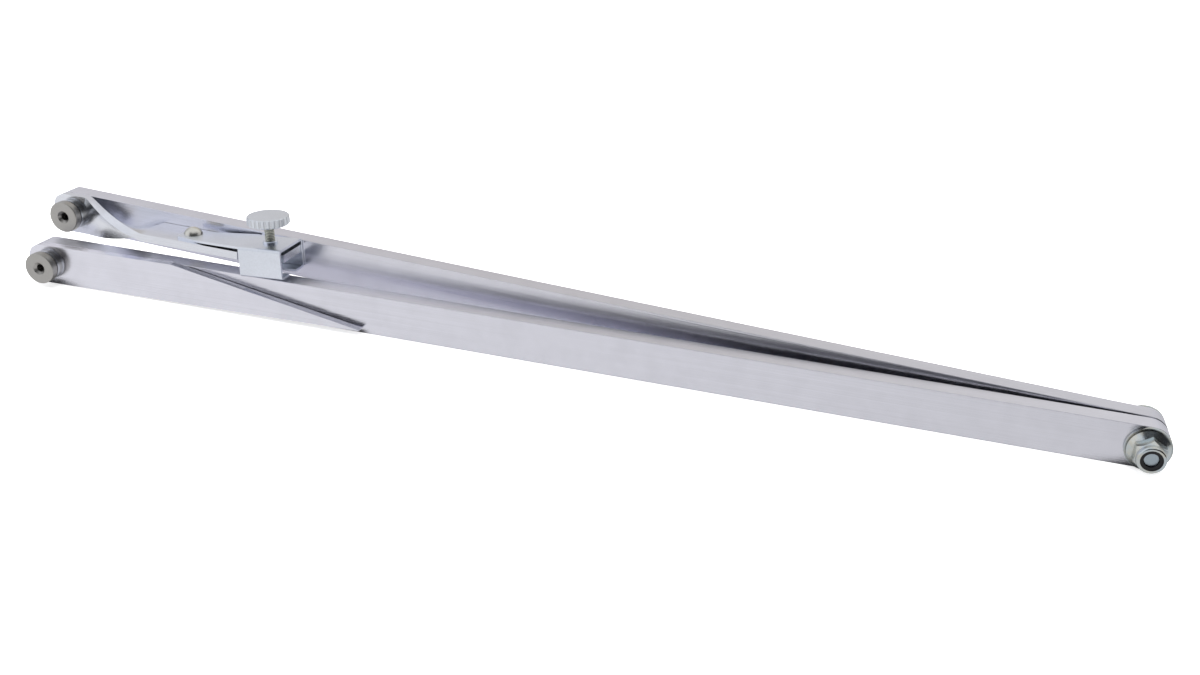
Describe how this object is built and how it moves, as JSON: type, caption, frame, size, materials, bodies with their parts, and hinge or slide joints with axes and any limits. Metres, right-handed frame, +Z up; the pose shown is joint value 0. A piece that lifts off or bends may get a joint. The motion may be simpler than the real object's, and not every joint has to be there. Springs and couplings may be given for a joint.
{
  "type": "beam compass",
  "caption": "Folding beam compass: two long flat metal arms on a hinge bolt, round tip holders at the free ends, a pivoting stay on each arm and a thumb-screw clamp.",
  "frame": {"origin": "on the axis of the front tip holder's bore, in the front face of the front arm", "axes": "+X along the front arm from the tip holders to the hinge, +Y from the front arm to the back arm, +Z up, the arms standing on edge"},
  "size_m": [0.6946, 0.0562, 0.0636],
  "materials": {
    "arm": "satin brushed along the bar",
    "stay": "bright cold-rolled steel strip",
    "clamp_sheet": "pale bluish zinc plate",
    "rivet": "pale warm zinc plate",
    "thumb_screw": "zinc plate, slightly worn",
    "washer": "bright zinc plate",
    "dark_washer": "dark oiled steel",
    "turned_steel": "matte turned steel",
    "hinge_zinc": "zinc plate with a faint blue and yellow sheen",
    "nylon": "black nylon locking ring"
  },
  "bodies": {
    "front_arm": {"front_arm": "arm", "hinge_bolt": "hinge_zinc", "hinge_nut": "hinge_zinc", "hinge_nut_insert": "nylon", "hinge_front_washer": "hinge_zinc", "hinge_back_washer": "hinge_zinc", "hinge_spacer": "washer", "front_tip_holder": "turned_steel", "front_holder_washer": "washer", "front_stay_washer": "dark_washer", "front_spacer": "washer"},
    "back_arm": {"back_arm": "arm", "back_tip_holder": "turned_steel", "back_holder_washer": "washer", "back_stay_washer": "dark_washer", "back_spacer": "washer"},
    "front_stay": {"front_stay": "stay"},
    "back_stay": {"back_stay": "stay", "clamp_housing": "clamp_sheet", "clamp_rivet": "rivet", "clamp_bush": "clamp_sheet"},
    "thumb_screw_shank": {"thumb_screw_shank": "thumb_screw"},
    "thumb_screw_head": {"thumb_screw_head": "thumb_screw"}
  },
  "joints": [
    {"name": "arm_hinge", "type": "hinge", "parent": "front_arm", "child": "back_arm", "pos_m": [0.669, 0.013, 0], "axis": [0, 1, 0], "range_deg": [0, 178]},
    {"name": "front_stay_pivot", "type": "hinge", "parent": "front_arm", "child": "front_stay", "pos_m": [0, -0.0031, 0], "axis": [0, -1, 0], "range_deg": [-330, 2]},
    {"name": "back_stay_pivot", "type": "hinge", "parent": "back_arm", "child": "back_stay", "pos_m": [0.00059, 0.02499, 0.0257], "axis": [-0.0224, -0.9997, 0.0009], "range_deg": [0, 180]},
    {"name": "thumb_screw_travel", "type": "slide", "parent": "back_stay", "child": "thumb_screw_shank", "axis": [-0.0697, 0.0024, 0.9976], "range_m": [0, 0.0031]},
    {"name": "thumb_screw_turn", "type": "hinge", "parent": "thumb_screw_shank", "child": "thumb_screw_head", "pos_m": [0.14803, 0.0104, 0.04741], "axis": [-0.0697, 0.0024, 0.9976], "range_deg": [0, 1080]}
  ],
  "couplings": [
    {"joint": "thumb_screw_travel", "follows": "thumb_screw_turn", "m_per_rad": 0.00015915}
  ]
}
